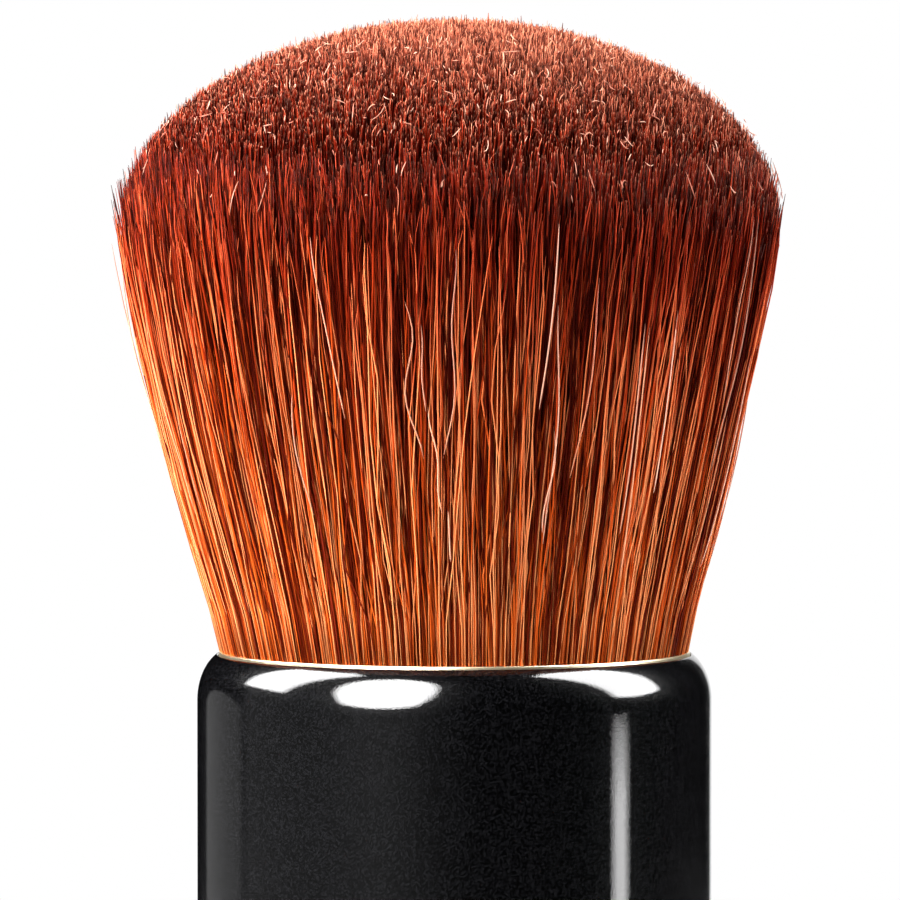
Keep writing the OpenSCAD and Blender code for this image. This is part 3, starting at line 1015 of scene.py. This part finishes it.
def makeLamps():
    for name, look in lamps.items():
        a, e = math.radians(look["azimuth"]), math.radians(look["elevation"])
        aim = Vector((0, 0, studio["aimHeight"]))
        back = Vector((math.sin(a) * math.cos(e), -math.cos(a) * math.cos(e), math.sin(e)))
        distance = studio["shineDistance" if "shine" in look else "lampDistance"]
        makeLamp(name, aim + back * distance, aim, look)
    for name, look in cards.items():
        a = math.radians(look["azimuth"])
        spot = Vector((math.sin(a) * look["distance"], -math.cos(a) * look["distance"], look["height"]))
        makeLamp(name, spot, Vector((0, 0, look["height"])), look)


def makeFloor(look):
    # Matt paper whose edge fades out, so that it meets the white surround without a line
    material, tree, shader = newMaterial("mattPaper", 0.9)
    place = objectPlace(tree)
    fibre = addNode(tree, "ShaderNodeTexNoise", inputs={
        "Vector": place, "Scale": 1 / look["paperFibre"], "Detail": 3.0})
    tone = setRamp(addNode(tree, "ShaderNodeValToRGB", inputs={0: fibre.outputs[0]}), [
        (0.3, "#B0B0AF"), (0.7, "#B6B6B5")])
    tree.links.new(tone.outputs[0], shader.inputs["Base Color"])
    shader.inputs["Specular IOR Level"].default_value = 0.1
    radius = addNode(tree, "ShaderNodeVectorMath", {"operation": "LENGTH"}, {0: place})
    fade = addNode(tree, "ShaderNodeMapRange", {"interpolation_type": "SMOOTHSTEP"},
                   {0: radius.outputs["Value"], 1: look["floorSolid"], 2: look["floorEnds"]})
    clear = addNode(tree, "ShaderNodeBsdfTransparent")
    mix = addNode(tree, "ShaderNodeMixShader", inputs={
        0: fade.outputs[0], 1: shader.outputs[0], 2: clear.outputs[0]})
    tree.links.new(mix.outputs[0], tree.nodes["Material Output"].inputs[0])
    bm = bmesh.new()
    bmesh.ops.create_circle(bm, segments=96, radius=look["floorEnds"], cap_ends=True)
    return makeStage(bm, "floor_paper", material)


def makeStage(bm, name, material):
    mesh = bpy.data.meshes.new(name)
    bm.to_mesh(mesh)
    bm.free()
    mesh.materials.append(material)
    piece = bpy.data.objects.new(name, mesh)
    bpy.context.scene.collection.objects.link(piece)
    return piece


def makeFlags(look):
    # Black cloth round and above the brush, which only its reflections see. A grey sheet hangs low on
    # its left side and fades out towards the camera
    material, tree, shader = newMaterial("blackCloth", 1.0)
    # turned half round, so that the seam of the radial gradient lies on the right
    spot = objectPlace(tree, (-1, -1, 1))
    around = addNode(tree, "ShaderNodeTexGradient", {"gradient_type": "RADIAL"}, {"Vector": spot})
    begins, full, fades, ends = [(azimuth + 270) / 360 for azimuth in look["greySheet"]]
    rise = addNode(tree, "ShaderNodeMapRange", {"interpolation_type": "SMOOTHSTEP"},
                   {0: around.outputs["Fac"], 1: begins, 2: full})
    fall = addNode(tree, "ShaderNodeMapRange", {"interpolation_type": "SMOOTHSTEP"},
                   {0: around.outputs["Fac"], 1: fades, 2: ends, 3: 1.0, 4: 0.0})
    height = addNode(tree, "ShaderNodeSeparateXYZ", inputs={0: spot}).outputs["Z"]
    low = addNode(tree, "ShaderNodeMapRange", {"interpolation_type": "SMOOTHSTEP"},
                  {0: height, 1: look["sheetSolid"], 2: look["sheetTop"], 3: look["sheetGlow"], 4: 0.0})
    side = addNode(tree, "ShaderNodeMath", {"operation": "MULTIPLY"},
                   {0: rise.outputs[0], 1: fall.outputs[0]})
    glow = addNode(tree, "ShaderNodeMath", {"operation": "MULTIPLY"},
                   {0: side.outputs[0], 1: low.outputs[0]})
    tree.links.new(glow.outputs[0], shader.inputs["Emission Strength"])
    shader.inputs["Emission Color"].default_value = toLinear("#FFFFFF")
    weave = addNode(tree, "ShaderNodeTexNoise", inputs={
        "Vector": objectPlace(tree), "Scale": 1 / look["weave"]})
    tone = setRamp(addNode(tree, "ShaderNodeValToRGB", inputs={0: weave.outputs[0]}), [
        (0.3, "#020202"), (0.7, "#040404")])
    tree.links.new(tone.outputs[0], shader.inputs["Base Color"])
    shader.inputs["Specular IOR Level"].default_value = 0.0
    bm = bmesh.new()
    corners = [
        (look["flagRadius"], look["flagFoot"]), (look["flagRadius"], look["flagTop"]),
        (1 * mm, look["flagTop"]),
    ]
    # the section starts where the opening on the far side ends, and is spun round to where it begins
    verts = [bm.verts.new((radius, 0, height)) for radius, height in corners]
    edges = [bm.edges.new(pair) for pair in zip(verts, verts[1:])]
    begin = math.radians(look["flagCloses"] - 90)
    bmesh.ops.rotate(bm, verts=bm.verts, cent=(0, 0, 0), matrix=Matrix.Rotation(begin, 3, "Z"))
    bmesh.ops.spin(bm, geom=verts + edges, cent=(0, 0, 0), axis=(0, 0, 1), steps=64,
                   angle=math.radians(360 - look["flagCloses"] + look["flagOpens"]))
    flags = makeStage(bm, "black_flags", material)
    flags.visible_camera = False
    flags.visible_diffuse = False
    flags.visible_transmission = False
    flags.visible_shadow = False


makeWorld()
makeLamps()
makeFloor(studio)
makeFlags(studio)
bpy.context.scene.view_settings.view_transform = "Standard"
print("stage 5: studio set")
